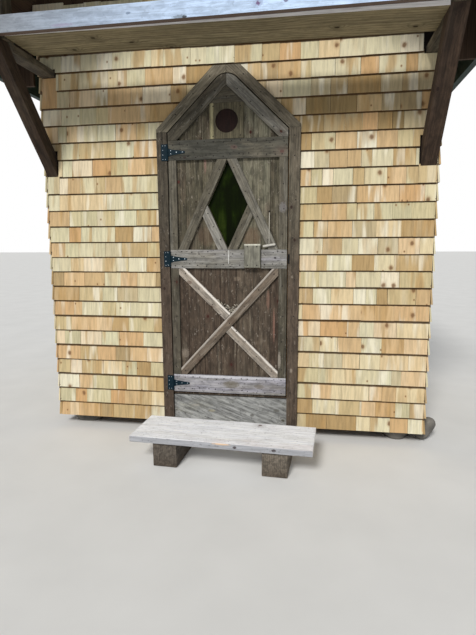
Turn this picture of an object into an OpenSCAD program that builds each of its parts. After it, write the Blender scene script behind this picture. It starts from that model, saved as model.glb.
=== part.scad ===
// Wooden outhouse: board walls for shingles, a pointed ledged and braced door on strap
// hinges, a steep gable roof, and a bracketed plank shelf over the door.
// The ground is Z = 0 and the front is towards -Y. Inside the modules Y = 0 is the front
// face of the wall boards; place() shifts each piece so that the part is centred.

/* [House] */
// Width over the wall boards
body_w = 2396; // [2300:2:2500]
// Depth over the wall boards
body_d = 1786; // [1500:2:2200]
// Thickness of the wall boards
wall_t = 22; // [18:1:26]
// Thickness of the shingles that cover the wall boards
shingle_t = 22; // [16:1:26]
// Height of the footing stones
stone_h = 80; // [70:1:100]
// Height of the sill beams
beam_h = 140; // [130:1:150]
// Thickness of the floor boards
floor_t = 38; // [32:1:40]
// Width of a corner post, a sill beam and a rafter
post_w = 89; // [80:1:100]
// Thickness of a framing stick
stick_t = 38; // [32:1:45]

/* [Roof] */
// Distance of the eave board's outer face from the shingled side
eave_out = 200; // [170:5:230]
// Height of the eave board's lower edge above the ground
fascia_low_z = 2258; // [2240:1:2280]
// Height of the eave board
fascia_h = 286; // [270:1:300]
// Pitch of the roof in degrees
roof_pitch = 45; // [43:1:46]
// Width of the level seat of a rafter on its plate
plate_seat = 38; // [30:1:45]
// Reach of the roof in front of the front wall
front_out = 720; // [640:10:800]
// Reach of the roof behind the back wall
back_out = 150; // [100:10:250]
// Thickness of the roof boards
deck_t = 22; // [18:1:28]
// Thickness of the metal roofing in its flat parts
sheet_t = 2; // [1:0.5:4]
// Height of a roofing rib
rib_h = 16; // [10:1:22]
// Spacing of the roofing ribs
rib_pitch = 229; // [180:1:300]
// Width of a barge board
barge_w = 140; // [110:5:160]
// Height of the ridge board
ridge_h = 140; // [120:5:180]
// Width of the gable boards between the wall's line and the eave board
return_w = 112; // [80:2:120]

/* [Doorway] */
// Middle of the doorway, measured from the middle of the house
door_x = -10.5; // [-40:0.5:40]
// Clear width between the casings
opening_w = 751; // [700:1:780]
// Height above the ground where the pointed top starts
spring_z = 1929; // [1920:1:1935]
// Slope of the pointed top in degrees
peak_slope = 44; // [43:0.5:45]
// Radius that rounds the point of the door leaf
peak_r = 90; // [60:5:110]
// Width of the upright casing boards
casing_w = 67; // [60:1:75]
// Width of the sloping casing boards
peak_casing_w = 62; // [55:1:68]
// Thickness of the casing boards
casing_t = 38; // [36:1:42]
// Width of the flat end of the casing's point
casing_clip_w = 166; // [150:2:190]
// Gap around the door leaf
leaf_gap = 6; // [5:0.5:8]

/* [Door leaf] */
// Height of the leaf's lower edge above the floor
leaf_lift = 8; // [6:1:12]
// Thickness of the vertical boards
board_t = 22; // [20:1:24]
// Width of the three rails
rail_w = 117; // [110:1:120]
// Height of the bottom rail's lower edge above the leaf's lower edge
bottom_rail_up = 20; // [10:1:40]
// Height of the middle rail's lower edge above the ground
mid_rail_z = 1101; // [1080:1:1120]
// Height of the top rail's lower edge above the ground
top_rail_z = 1764; // [1755:1:1768]
// Width of the stiles
stile_w = 51; // [45:1:58]
// Width of the battens under the pointed edge
gable_batten_w = 70; // [60:1:75]
// Width of the four battens round the diamond
diamond_batten_w = 57; // [48:1:60]
// Width of the crossed battens
cross_w = 57; // [48:1:62]
// Lean from upright of the crossed batten that is cut in two, in degrees
cut_batten_lean = 45.5; // [44:0.1:47]
// Width of the block that holds the round vent
vent_block_w = 206; // [190:2:206]
// Height of that block
vent_block_h = 204; // [190:2:206]
// Diameter of the vent disc
vent_d = 138; // [120:1:150]
// Thickness of the vent disc
vent_disc_t = 12; // [8:1:16]
// Thickness of the window glass
glass_t = 4; // [3:1:4]

/* [Hinges and latch] */
// Height of a hinge leaf
hinge_h = 98; // [80:2:110]
// Width of a hinge leaf on the casing
hinge_leaf_w = 40; // [30:1:50]
// Length of a strap from the pin to its tip
strap_l = 112; // [90:2:140]
// Height of a strap at its root
strap_root_h = 50; // [40:1:60]
// Thickness of the hinge plates
hinge_t = 2.5; // [2:0.5:3]
// Radius of the hinge pin
pin_r = 2.5; // [2:0.1:3]
// Radius of the hinge knuckle
knuckle_r = 5.5; // [5:0.1:6]
// Width of the latch block
latch_w = 101; // [80:1:110]
// Height of the latch block
latch_h = 145; // [130:1:160]
// Thickness of the latch block
latch_t = 42; // [30:1:50]
// Middle of the latch block, measured from the middle of the door
latch_x = 157; // [140:1:170]
// Thickness of the latch string
string_d = 3.5; // [3:0.5:4]
// Length of the wooden toggle on the string
toggle_l = 78; // [60:1:90]
// Thickness of the toggle
toggle_d = 16; // [12:1:20]
// Tilt of the toggle in degrees
toggle_tilt = 9; // [0:1:15]

/* [Brackets] */
// Height of the arms' underside above the ground
arm_z = 2298; // [2290:1:2304]
// Thickness of an arm
arm_t = 40; // [36:1:42]
// Distance of an arm's outer face inwards from the shingled side
arm_in = 13; // [5:1:30]
// Height of a knee brace's foot above the ground, on the wall boards
brace_foot_z = 1678; // [1670:1:1690]
// Slope of the right knee brace in degrees
brace_slope = 52.7; // [52:0.1:54]
// Slope of the left knee brace in degrees
left_brace_slope = 49.4; // [49:0.1:53]
// Width of the left knee brace
left_brace_w = 72; // [66:1:89]
// Width of one of the two overhead planks
plank_w = 138; // [130:1:140]
// Thickness of the overhead planks
plank_t = 38; // [34:1:40]
// Height of the planks' left end over the arms
plank_rise = 9; // [4:1:12]
// Fall of the planks from left to right
plank_fall = 22; // [0:1:36]
// Height of the board across the planks' front edge
front_board_h = 89; // [80:1:100]

/* [Step] */
// Length of the step plank
step_l = 1038; // [950:2:1100]
// Width of the step plank
step_w = 336; // [300:2:350]
// Thickness of the step plank
step_t = 38; // [34:1:42]
// Middle of the step plank, measured from the middle of the house
step_x = 30; // [0:1:60]
// Distance of the middle of the step plank from the wall
step_out = 410; // [390:1:430]
// Turn of the step in degrees
step_turn = -2.9; // [-4:0.1:4]
// Side of the square step timbers
timber_w = 142; // [130:1:150]
// Length of the step timbers
timber_l = 280; // [220:5:300]
// Distance of each step timber from the middle of the plank
timber_x = 314; // [280:2:360]

/* [Hidden] */

$fn = 48;
half_w = body_w / 2;
// Clearance of loosely seated pieces, and of butt joints within one layer
seat = 0.3;
joint_gap = 1;
roof_l = front_out + body_d + back_out;
// Middle of the roof along Y, which is the part's origin
roof_mid_y = (body_d + back_out - front_out) / 2;

floor_z = stone_h + beam_h;
floor_top = floor_z + floor_t;
stud_out = half_w - wall_t;
stud_in = stud_out - post_w;

// Roof: heights at the distance x from the middle
fascia_x = half_w + shingle_t + eave_out;
deck_x = fascia_x + 10;
deck_mid_z = fascia_low_z + fascia_h + fascia_x * tan(roof_pitch);
function deck_low(x) = deck_mid_z - x * tan(roof_pitch);
function deck_top(x) = deck_low(x) + deck_t / cos(roof_pitch);
function rafter_low(x) = deck_low(x) - post_w / cos(roof_pitch);
rafter_in = stick_t / 2;
plate_top = round(rafter_low(stud_out) + plate_seat * tan(roof_pitch));

// Doorway
half_open = opening_w / 2;
leaf_w = opening_w - 2 * leaf_gap;
leaf_z = floor_top + leaf_lift;
opening_tip_z = spring_z + half_open * tan(peak_slope);
leaf_tip_z = opening_tip_z - leaf_gap / cos(peak_slope);
peak_centre_z = leaf_tip_z - peak_r / cos(peak_slope);
batten_tip_z = leaf_tip_z - gable_batten_w / cos(peak_slope);
board_back_y = 3;
board_front_y = board_back_y - board_t;
face_y = -casing_t;
panel_w = leaf_w - 2 * stile_w;
bottom_rail_z = leaf_z + bottom_rail_up;
casing_joint_z = spring_z + 2;
casing_tip_z = opening_tip_z + peak_casing_w / cos(peak_slope);
// The diamond: its edges meet just under the top rail and just over the middle rail
diamond_top = top_rail_z - 3;
diamond_low = mid_rail_z + rail_w + 4;
diamond_mid = (diamond_top + diamond_low) / 2;
// The long battens' feet stand beside the stiles on the middle rail: from the diamond's
// side corner, drawn out to the panel's edge, their run and rise give the lean from upright
batten_run = panel_w / 2 - joint_gap;
batten_rise = diamond_top - mid_rail_z - rail_w;
diamond_lean = acos(diamond_batten_w / norm([batten_run, batten_rise]))
    - atan2(batten_rise, batten_run);
diamond_half_w = (diamond_top - diamond_low) / 2 * tan(diamond_lean);
vent_z = top_rail_z + rail_w + vent_block_h / 2 + joint_gap;

// Middle of the front footing stones behind the wall's face
corner_y = 90;

// Hinges
hinge_x = -leaf_w / 2 - leaf_gap / 2;
hinge_y = face_y - knuckle_r - seat;
hinge_zs = [bottom_rail_z + rail_w / 2, mid_rail_z + rail_w / 2, top_rail_z + rail_w / 2 - 11];
pin_gap = 0.05;
knuckle_gap = 0.5;

// String: from its hole down over a batten to the toggle
string_hole = [260, 1442];
string_route = [[0, -17, 0], [0, -22, -1], [0, -25, -6], [0, -27, -14], [0, -29, -23],
    [0, -30.5, -32], [0, -32, -41], [0, -33.5, -50], [0, -35, -59], [0, -36.5, -68],
    [0, -38, -77], [0, -39.5, -86], [0, -41, -95], [0, -41.5, -105], [0, -42, -115],
    [0, -42.5, -125], [0, -43, -135], [0, -43.5, -145], [0, -44, -155], [0, -44.5, -165],
    [0, -45.5, -175], [0, -46.5, -184], [0, -46.5, -190]];
string_end = string_route[len(string_route) - 1];

// Brackets
arm_x = half_w + shingle_t - arm_in - post_w;
arm_top = arm_z + arm_t;
shelf_y = -(arm_top - brace_foot_z) / tan(brace_slope);

module place() { translate([0, -roof_mid_y, 0]) children(); }
module on_door() { place() translate([door_x, 0, 0]) children(); }
module both_sides() {
    children();
    mirror([1, 0, 0]) children();
}
// A plate that stands upright, facing the front: outline in X and Z, from y0 back to y1
module upright(y0, y1) { translate([0, y1, 0]) rotate([90, 0, 0]) linear_extrude(y1 - y0) children(); }
// A piece with its outline in Y and Z, from x0 to x1
module sideways(x0, x1) { translate([x0, 0, 0]) rotate([90, 0, 90]) linear_extrude(x1 - x0) children(); }
module box(x0, x1, y0, y1, z0, z1) { translate([x0, y0, z0]) cube([x1 - x0, y1 - y0, z1 - z0]); }

// Outline with a pointed top of the given tip height, its point rounded to radius r
module pointed(half, low_z, tip_z, r) {
    side_x = r * sin(peak_slope);
    side_z = peak_centre_z + r * cos(peak_slope);
    shoulder_z = tip_z - half * tan(peak_slope);
    polygon([[-half, low_z], [half, low_z], [half, shoulder_z], [side_x, side_z],
        [0, peak_centre_z], [-side_x, side_z], [-half, shoulder_z]]);
    intersection() {
        translate([0, peak_centre_z]) circle(r, $fn = 96);
        translate([-side_x, peak_centre_z]) square([2 * side_x, 2 * r]);
    }
}
module leaf_outline() { pointed(leaf_w / 2, leaf_z, leaf_tip_z, peak_r); }
module opening_outline() { pointed(half_open, stone_h - 1, opening_tip_z, peak_r + leaf_gap); }
// Everything under a pointed line with the given tip height
module under_peak(tip_z) {
    reach = 2 * tip_z;
    polygon([[-reach, tip_z - reach * tan(peak_slope)], [0, tip_z],
        [reach, tip_z - reach * tan(peak_slope)]]);
}
module diamond(lap = 0) {
    polygon([[0, diamond_low - 2 * lap], [diamond_half_w + lap, diamond_mid],
        [0, diamond_top + 2 * lap], [-diamond_half_w - lap, diamond_mid]]);
}
// A straight bar through point p, leaning by a degrees from upright
module bar(p, a, w) { translate(p) rotate(a) square([w, 3 * leaf_w], center = true); }

module stone(r, turn) {
    hull() {
        for (i = [0:2])
            rotate(turn + i * 120)
                translate([r * 0.3, 0, stone_h * (0.4 + 0.1 * i)])
                    sphere(r * 0.62 + 4 * i, $fn = 14);
        translate([0, 0, stone_h * 0.7]) cylinder(h = stone_h * 0.3, r = r * 0.75, $fn = 14);
    }
}
// The stone under the right front corner reaches out beside the wall
module side_bulge() {
    r = stone_h * 0.62;
    hull() {
        translate([half_w + 0.6 * r, corner_y, 0.92 * r]) sphere(r, $fn = 14);
        translate([half_w + 1.2 * r, corner_y + 1.2 * r, 0.85 * r]) sphere(0.92 * r, $fn = 14);
        translate([half_w + 1.5 * r, corner_y + 0.2 * r, 2 * r]) sphere(0.96 * r, $fn = 14);
    }
}
module footing_stones() {
    rows = [0.08, 0.5, 0.92];
    x = half_w + shingle_t + seat;
    color("darkgray") place() difference() {
        union() {
            for (side = [-1, 1])
                for (i = [0:2])
                    translate([side * (half_w - 125 + 6 * i), body_d * rows[i], 0])
                        stone(112 + 4 * i, 40 * i + 25 * side);
            side_bulge();
        }
        box(-x, x, -body_d, 2 * body_d, stone_h, body_d);
        box(-body_w, body_w, -body_d, 2 * body_d, -body_d, 0);
    }
}
module sill_beams() {
    y0 = wall_t + stick_t;
    color("dimgray") place() {
        both_sides() box(stud_in, stud_out, y0, body_d - y0, stone_h, floor_z);
        box(-post_w / 2, post_w / 2, y0, body_d - y0, stone_h, floor_z);
    }
}
module rim_boards() {
    color("gray") place()
        for (y = [wall_t, body_d - wall_t - stick_t])
            box(-stud_out, stud_out, y, y + stick_t, stone_h, floor_z);
}
module floor_boards() {
    color("burlywood") place()
        box(-stud_out, stud_out, wall_t, body_d - wall_t, floor_z, floor_top);
}
module front_walls() {
    color("wheat") place() {
        box(-half_w, door_x - half_open, 0, wall_t, stone_h, spring_z);
        box(door_x + half_open, half_w, 0, wall_t, stone_h, spring_z);
    }
}
module front_wall_over_door() {
    color("wheat") place() upright(0, wall_t) difference() {
        translate([-half_w, spring_z]) square([body_w, plate_top - spring_z]);
        translate([door_x, 0]) opening_outline();
    }
}
// Boards between the studs' outer face and the wall's, cut to the rafters on top
module side_walls() {
    color("wheat") place() both_sides() upright(wall_t, body_d - wall_t)
        polygon([[stud_out, stone_h], [half_w, stone_h], [half_w, rafter_low(half_w)],
            [stud_out, rafter_low(stud_out)]]);
}
module back_wall() {
    color("wheat") place() box(-half_w, half_w, body_d - wall_t, body_d, stone_h, plate_top);
}
// Gable triangle over a wall, notched for the ridge board, and the boards beside the wall
module gable_outline() {
    reach = (deck_mid_z - plate_top) / tan(roof_pitch);
    inner = fascia_x - stick_t;
    difference() {
        polygon([[-reach, plate_top], [reach, plate_top], [0, deck_mid_z]]);
        translate([-rafter_in, deck_low(rafter_in) - ridge_h]) square([stick_t, body_w]);
    }
    both_sides() polygon([[inner - return_w, fascia_low_z], [inner, fascia_low_z],
        [inner, deck_low(inner)], [inner - return_w, deck_low(inner - return_w)]]);
}
module gable_boards() {
    color("dimgray") place() {
        upright(0, wall_t) gable_outline();
        upright(body_d - wall_t, body_d) gable_outline();
    }
}
module corner_posts() {
    color("peru") place() both_sides()
        for (y = [wall_t, body_d - wall_t - post_w])
            box(stud_in, stud_out, y, y + post_w, floor_top, plate_top - stick_t);
}
// Studs in the side and back walls, and the two posts beside the doorway
module wall_studs() {
    side_n = 2;
    back_n = 3;
    top = plate_top - stick_t;
    first = wall_t + post_w;
    bay = (body_d - 2 * first - side_n * stick_t) / (side_n + 1);
    back_bay = (2 * stud_in - back_n * stick_t) / (back_n + 1);
    color("peru") place() {
        both_sides()
            for (i = [1:side_n])
                translate([0, first + i * bay + (i - 1) * stick_t, 0])
                    box(stud_in, stud_out, 0, stick_t, floor_top, top);
        for (i = [1:back_n])
            translate([-stud_in + i * back_bay + (i - 1) * stick_t, body_d - first, 0])
                box(0, stick_t, 0, post_w, floor_top, top);
        translate([door_x, 0, 0]) both_sides()
            box(half_open, half_open + stick_t, wall_t, first, floor_top, top);
    }
}
module top_plates() {
    z = plate_top - stick_t;
    color("peru") place() {
        both_sides() box(stud_in, stud_out, wall_t, body_d - wall_t, z, plate_top);
        for (y = [wall_t, body_d - wall_t - post_w])
            box(-stud_in + joint_gap, stud_in - joint_gap, y, y + post_w, z, plate_top);
    }
}
module door_stops() {
    stop_w = 20;
    stop_y = board_back_y + leaf_gap - 1;
    color("burlywood") on_door() both_sides()
        box(half_open - stop_w, half_open, stop_y, stop_y + stick_t, floor_top, spring_z - stop_w);
}
module rafter_outline() {
    seat_x = stud_out - (plate_top - rafter_low(stud_out)) / tan(roof_pitch);
    tail_x = fascia_x - stick_t;
    polygon([[rafter_in, deck_low(rafter_in)], [tail_x, deck_low(tail_x)],
        [tail_x, rafter_low(tail_x)], [stud_out, rafter_low(stud_out)], [stud_out, plate_top],
        [seat_x, plate_top], [rafter_in, rafter_low(rafter_in)]]);
}
// A rafter pair stands over the shelf's posts, the others along the house
module rafters() {
    n = 5;
    step = (body_d - 2 * wall_t - stick_t) / (n - 1);
    color("saddlebrown") place() both_sides() {
        for (i = [0:n - 1])
            upright(wall_t + i * step, wall_t + i * step + stick_t) rafter_outline();
        upright(shelf_y, shelf_y + stick_t) rafter_outline();
    }
}
module ridge_board() {
    top = deck_low(rafter_in);
    color("saddlebrown") place() upright(-front_out, body_d + back_out)
        polygon([[-rafter_in, top - ridge_h], [rafter_in, top - ridge_h], [rafter_in, top],
            [0, deck_mid_z], [-rafter_in, top]]);
}
module fascia_boards() {
    inner = fascia_x - stick_t;
    color("darkslategray") place() both_sides() upright(-front_out, body_d + back_out)
        polygon([[inner, fascia_low_z], [fascia_x, fascia_low_z], [fascia_x, deck_low(fascia_x)],
            [inner, deck_low(inner)]]);
}
module roof_decks() {
    x = joint_gap / 2;
    color("saddlebrown") place() both_sides() upright(-front_out, body_d + back_out)
        polygon([[deck_x, deck_low(deck_x)], [deck_x, deck_top(deck_x)], [x, deck_top(x)],
            [x, deck_low(x)]]);
}
// Ribbed sheet with the given length up the slope: its inner face is at X = 0
module ribbed_sheet(len) {
    n = floor((roof_l - 60) / rib_pitch);
    first = -front_out + (roof_l - n * rib_pitch) / 2;
    rib_foot = 24;
    rib_top = 10;
    outer = [for (i = [0:n]) let(y = first + i * rib_pitch) each
        [[sheet_t, y - rib_foot], [sheet_t + rib_h, y - rib_top],
         [sheet_t + rib_h, y + rib_top], [sheet_t, y + rib_foot]]];
    linear_extrude(len) polygon(concat([[0, -front_out], [sheet_t, -front_out]], outer,
        [[sheet_t, body_d + back_out], [0, body_d + back_out]]));
}
module metal_roofing() {
    over = 12;
    slope_l = deck_x / cos(roof_pitch);
    color("darkgreen") place() both_sides()
        translate([deck_x, 0, deck_top(deck_x)]) rotate([0, roof_pitch - 90, 0])
            translate([0, 0, -over]) ribbed_sheet(slope_l + over - 3);
}
module ridge_cap() {
    x = 106;
    lift = (sheet_t + rib_h + seat) / cos(roof_pitch);
    t = 3;
    color("darkgreen") place() upright(-front_out, body_d + back_out)
        polygon([[-x, deck_top(x) + lift], [0, deck_top(0) + lift], [x, deck_top(x) + lift],
            [x, deck_top(x) + lift + t], [0, deck_top(0) + lift + t],
            [-x, deck_top(x) + lift + t]]);
}
module barge_boards() {
    x = joint_gap / 2;
    drop = barge_w / cos(roof_pitch);
    color("dimgray") place()
        for (y = [-front_out - wall_t, body_d + back_out])
            both_sides() upright(y, y + wall_t)
                polygon([[deck_x, deck_top(deck_x) - drop], [deck_x, deck_top(deck_x)],
                    [x, deck_top(x)], [x, deck_top(x) - drop]]);
}
// Front and back line of a knee brace: Y at the height z
function brace_front(z, slope) = -(z - brace_foot_z) / tan(slope);
function brace_back(z, slope) = brace_front(z - post_w / cos(slope), slope);
// An arm runs from the wall to the back of its brace
module bracket_arm(slope) {
    sideways(arm_x, arm_x + post_w)
        polygon([[0, arm_z], [0, arm_top], [brace_back(arm_top, slope), arm_top],
            [brace_back(arm_z, slope), arm_z]]);
}
module knee_brace(slope, w) {
    sideways(arm_x + post_w - w, arm_x + post_w)
        polygon([[0, brace_foot_z], [brace_front(arm_top, slope), arm_top],
            [brace_back(arm_top, slope), arm_top], [0, brace_foot_z + post_w / cos(slope)]]);
}
module bracket_arms() {
    color("sienna") place() {
        bracket_arm(brace_slope);
        mirror([1, 0, 0]) bracket_arm(left_brace_slope);
    }
}
module knee_braces() {
    color("sienna") place() {
        knee_brace(brace_slope, post_w);
        mirror([1, 0, 0]) knee_brace(left_brace_slope, left_brace_w);
    }
}
// Posts on the braces' heads, up to the rafters over them
module overhang_posts() {
    x1 = arm_x + post_w;
    color("sienna") place() both_sides() upright(shelf_y, shelf_y + post_w)
        polygon([[arm_x, arm_top], [x1, arm_top], [x1, rafter_low(x1)],
            [arm_x, rafter_low(arm_x)]]);
}
module overhead_planks() {
    left_z = arm_top + plank_rise;
    right_z = left_z - plank_fall;
    gap = 3;
    color("darkkhaki") place()
        for (i = [0:1])
            translate([0, shelf_y + i * (plank_w + gap), 0]) upright(0, plank_w)
                polygon([[-arm_x, left_z], [arm_x, right_z], [arm_x, right_z + plank_t],
                    [-arm_x, left_z + plank_t]]);
}
module overhead_board() {
    z = arm_top + plank_rise;
    x = arm_x + post_w;
    color("lightsteelblue") place()
        box(-x, x, shelf_y - stick_t, shelf_y, z, z + front_board_h);
}
module casing_outline() {
    outer = half_open + casing_w;
    clip_z = casing_tip_z - casing_clip_w / 2 * tan(peak_slope);
    intersection() {
        difference() {
            translate([-outer, stone_h]) square([2 * outer, clip_z - stone_h]);
            opening_outline();
        }
        under_peak(casing_tip_z);
    }
}
module door_casing() {
    color("dimgray") on_door() upright(face_y, 0) intersection() {
        casing_outline();
        translate([-half_w, 0]) square([body_w, casing_joint_z]);
    }
}
module door_casing_peak() {
    z = casing_joint_z + seat;
    color("dimgray") on_door() both_sides() upright(face_y, 0) intersection() {
        casing_outline();
        translate([joint_gap / 2, z]) square(half_w);
    }
}
module kick_board() {
    color("darkseagreen") on_door()
        box(-half_open, half_open, board_front_y, wall_t, stone_h, floor_top);
}
module door_boards() {
    color("rosybrown") on_door() difference() {
        upright(board_front_y, board_back_y) difference() {
            leaf_outline();
            diamond();
        }
        translate([string_hole[0], 0, string_hole[1]]) rotate([90, 0, 0])
            cylinder(h = 4 * board_t, r = string_d / 2 + seat, center = true);
    }
}
module door_rails() {
    block_left = latch_x - latch_w / 2 - joint_gap;
    block_right = latch_x + latch_w / 2 + joint_gap;
    z = mid_rail_z;
    x = leaf_w / 2;
    color("silver") on_door() {
        for (rail_z = [bottom_rail_z, top_rail_z])
            box(-x, x, face_y, board_front_y, rail_z, rail_z + rail_w);
        box(-x, block_left, face_y, board_front_y, z, z + rail_w);
        box(block_right, x, face_y, board_front_y, z, z + rail_w);
    }
}
module door_stiles() {
    x = leaf_w / 2;
    color("gray") on_door() both_sides() {
        box(panel_w / 2, x, face_y, board_front_y, bottom_rail_z + rail_w, mid_rail_z);
        box(panel_w / 2, x, face_y, board_front_y, mid_rail_z + rail_w, top_rail_z);
    }
}
// Two battens under the pointed edge, and the small board between them
module peak_battens() {
    foot_z = top_rail_z + rail_w;
    filler_z = vent_z + vent_block_h / 2 + joint_gap;
    filler_x = (batten_tip_z - joint_gap * 2 - filler_z) / tan(peak_slope);
    color("dimgray") on_door() {
        both_sides() upright(face_y, board_front_y) intersection() {
            difference() {
                leaf_outline();
                under_peak(batten_tip_z);
            }
            translate([joint_gap / 2, foot_z]) square(leaf_w);
        }
        upright(face_y, board_front_y)
            polygon([[-filler_x, filler_z], [filler_x, filler_z], [0, batten_tip_z - 2 * joint_gap]]);
    }
}
module vent_block() {
    color("darkkhaki") on_door() upright(face_y, board_front_y) difference() {
        intersection() {
            translate([0, vent_z]) square([vent_block_w, vent_block_h], center = true);
            under_peak(batten_tip_z - joint_gap);
        }
        translate([0, vent_z]) circle(d = vent_d + 2 * seat, $fn = 72);
    }
}
module vent_disc() {
    color("maroon") on_door() upright(board_front_y - vent_disc_t, board_front_y)
        translate([0, vent_z]) circle(d = vent_d, $fn = 72);
}
// Two long battens lean together over the diamond, two short ones butt under them
module diamond_battens() {
    w = diamond_batten_w;
    corner = [diamond_half_w + w / 2 / cos(diamond_lean), diamond_mid];
    low_z = mid_rail_z + rail_w;
    x = joint_gap / 2;
    color("gray") on_door() both_sides() upright(face_y, board_front_y) {
        intersection() {
            bar(corner, diamond_lean, w);
            translate([x, low_z]) square([panel_w / 2 - x, top_rail_z - low_z]);
        }
        difference() {
            intersection() {
                bar(corner, -diamond_lean, w);
                translate([x, low_z]) square([panel_w / 2 - x, top_rail_z - low_z]);
            }
            translate(corner) rotate(diamond_lean)
                translate([-w / 2 - joint_gap, -leaf_w]) square([leaf_w, 3 * leaf_w]);
        }
    }
}
module diamond_glass() {
    lap = 14;
    color("darkolivegreen") on_door() upright(board_back_y, board_back_y + glass_t) diamond(lap);
}
// One batten runs from corner to corner. The other is cut in two: each half leaves its own
// corner of the panel at a lean of its own, so the halves don't line up at the crossing.
module cross_battens() {
    low = bottom_rail_z + rail_w;
    high = mid_rail_z;
    half = panel_w / 2;
    mid = [0, (low + high) / 2];
    lean = atan2(half, (high - low) / 2);
    reach = 2 * leaf_w;
    color("tan") on_door() upright(face_y, board_front_y) intersection() {
        translate([-half, low]) square([panel_w, high - low]);
        union() {
            bar(mid, -lean, cross_w);
            for (s = [-1, 1]) intersection() {
                bar([s * half, s < 0 ? high : low], cut_batten_lean, cross_w);
                translate(mid) rotate(-lean) translate([s * (cross_w / 2 + joint_gap + reach / 2), 0])
                    square([reach, 2 * reach], center = true);
            }
        }
    }
}
// Fixed leaf: plate on the casing, two knuckles and the pin
module hinge_leaves() {
    ear = (hinge_h - strap_root_h) / 2 - knuckle_gap;
    color("darkslategray") on_door()
        for (z = hinge_zs) translate([hinge_x, 0, z]) {
            difference() {
                box(-hinge_leaf_w, 0, face_y - hinge_t, face_y, -hinge_h / 2, hinge_h / 2);
                box(-knuckle_r - 1, 1, face_y - hinge_t - 1, face_y + 1,
                    -strap_root_h / 2 - knuckle_gap, strap_root_h / 2 + knuckle_gap);
            }
            for (low = [-hinge_h / 2, hinge_h / 2 - ear])
                translate([0, hinge_y, low]) cylinder(h = ear, r = knuckle_r);
            translate([0, hinge_y, -hinge_h / 2]) cylinder(h = hinge_h, r = pin_r);
        }
}
// Moving strap: tapered plate on the rail with the middle knuckle
module hinge_straps() {
    root = strap_root_h / 2;
    tip_r = 7;
    color("darkslategray") on_door()
        for (z = hinge_zs) translate([hinge_x, 0, z]) difference() {
            union() {
                upright(face_y - hinge_t, face_y) {
                    polygon([[0, -root], [26, -root + 8], [strap_l - tip_r, -tip_r],
                        [strap_l - tip_r, tip_r], [26, root - 8], [0, root]]);
                    translate([strap_l - tip_r, 0]) circle(tip_r);
                }
                translate([0, hinge_y, -root]) cylinder(h = strap_root_h, r = knuckle_r);
            }
            translate([0, hinge_y, -hinge_h]) cylinder(h = 2 * hinge_h, r = pin_r + pin_gap);
        }
}
module latch_block() {
    z = mid_rail_z + 6;
    color("darkkhaki") on_door()
        box(latch_x - latch_w / 2, latch_x + latch_w / 2, board_front_y - latch_t, board_front_y,
            z, z + latch_h);
}
module latch_strike() {
    z = mid_rail_z + rail_w / 2;
    color("black") on_door()
        box(half_open, half_open + 10, face_y - 3, face_y, z - 29, z + 29);
}
// Round tube along the route: rings of points with their normals across the YZ plane
module swept_tube(route, r, sides) {
    n = len(route);
    function along(i) = let(a = route[max(i - 1, 0)], b = route[min(i + 1, n - 1)]) (b - a) / norm(b - a);
    rings = [for (i = [0:n - 1]) let(t = along(i), u = [1, 0, 0], v = cross(t, u))
        for (k = [0:sides - 1]) let(a = 360 * k / sides) route[i] + r * (cos(a) * u + sin(a) * v)];
    walls = [for (i = [0:n - 2]) for (k = [0:sides - 1])
        let(k2 = (k + 1) % sides)
        [i * sides + k, i * sides + k2, (i + 1) * sides + k2, (i + 1) * sides + k]];
    caps = [[for (k = [sides - 1:-1:0]) k], [for (k = [0:sides - 1]) (n - 1) * sides + k]];
    polyhedron(points = rings, faces = concat(walls, caps), convexity = 4);
}
module latch_string() {
    color("ivory") on_door() translate([string_hole[0], 0, string_hole[1]])
        swept_tube(string_route, string_d / 2, 8);
}
// The stick hangs tilted from the string, whose end rests on it
module latch_toggle() {
    drop = (toggle_d + string_d * sin(toggle_tilt)) / 2 / cos(toggle_tilt);
    color("ivory") on_door()
        translate([string_hole[0], string_end[1], string_hole[1] + string_end[2] - drop])
            rotate([0, 90 - toggle_tilt, 0]) cylinder(h = toggle_l, d = toggle_d, center = true);
}
// The step's own frame: middle of the plank, on the ground
module at_step() { place() translate([step_x, -step_out, 0]) rotate(step_turn) children(); }
module step_timbers() {
    set_back = 20;
    y = set_back - step_w / 2;
    color("tan") at_step()
        for (x = [-timber_x, timber_x])
            box(x - timber_w / 2, x + timber_w / 2, y, y + timber_l, 0, timber_w);
}
module step_plank() {
    color("gainsboro") at_step()
        box(-step_l / 2, step_l / 2, -step_w / 2, step_w / 2, timber_w, timber_w + step_t);
}

footing_stones();
sill_beams();
rim_boards();
floor_boards();
front_walls();
front_wall_over_door();
side_walls();
back_wall();
gable_boards();
corner_posts();
wall_studs();
top_plates();
door_stops();
rafters();
ridge_board();
fascia_boards();
roof_decks();
metal_roofing();
ridge_cap();
barge_boards();
bracket_arms();
knee_braces();
overhang_posts();
overhead_planks();
overhead_board();
door_casing();
door_casing_peak();
kick_board();
hinge_leaves();
latch_strike();
step_timbers();
step_plank();
door_boards();
door_rails();
door_stiles();
peak_battens();
vent_block();
vent_disc();
diamond_battens();
diamond_glass();
cross_battens();
hinge_straps();
latch_block();
latch_string();
latch_toggle();
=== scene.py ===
"""Wooden outhouse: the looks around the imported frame.

Lengths in the helpers are millimetres in the source's own layout (X from the middle of the
house, Y = 0 at the front of the wall boards, Z = 0 on the ground); at() turns them into the
frame's metres. Colours are sRGB in hex.
"""

import math
import random

import bmesh
import bpy
from mathutils import Matrix, Vector, noise


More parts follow.
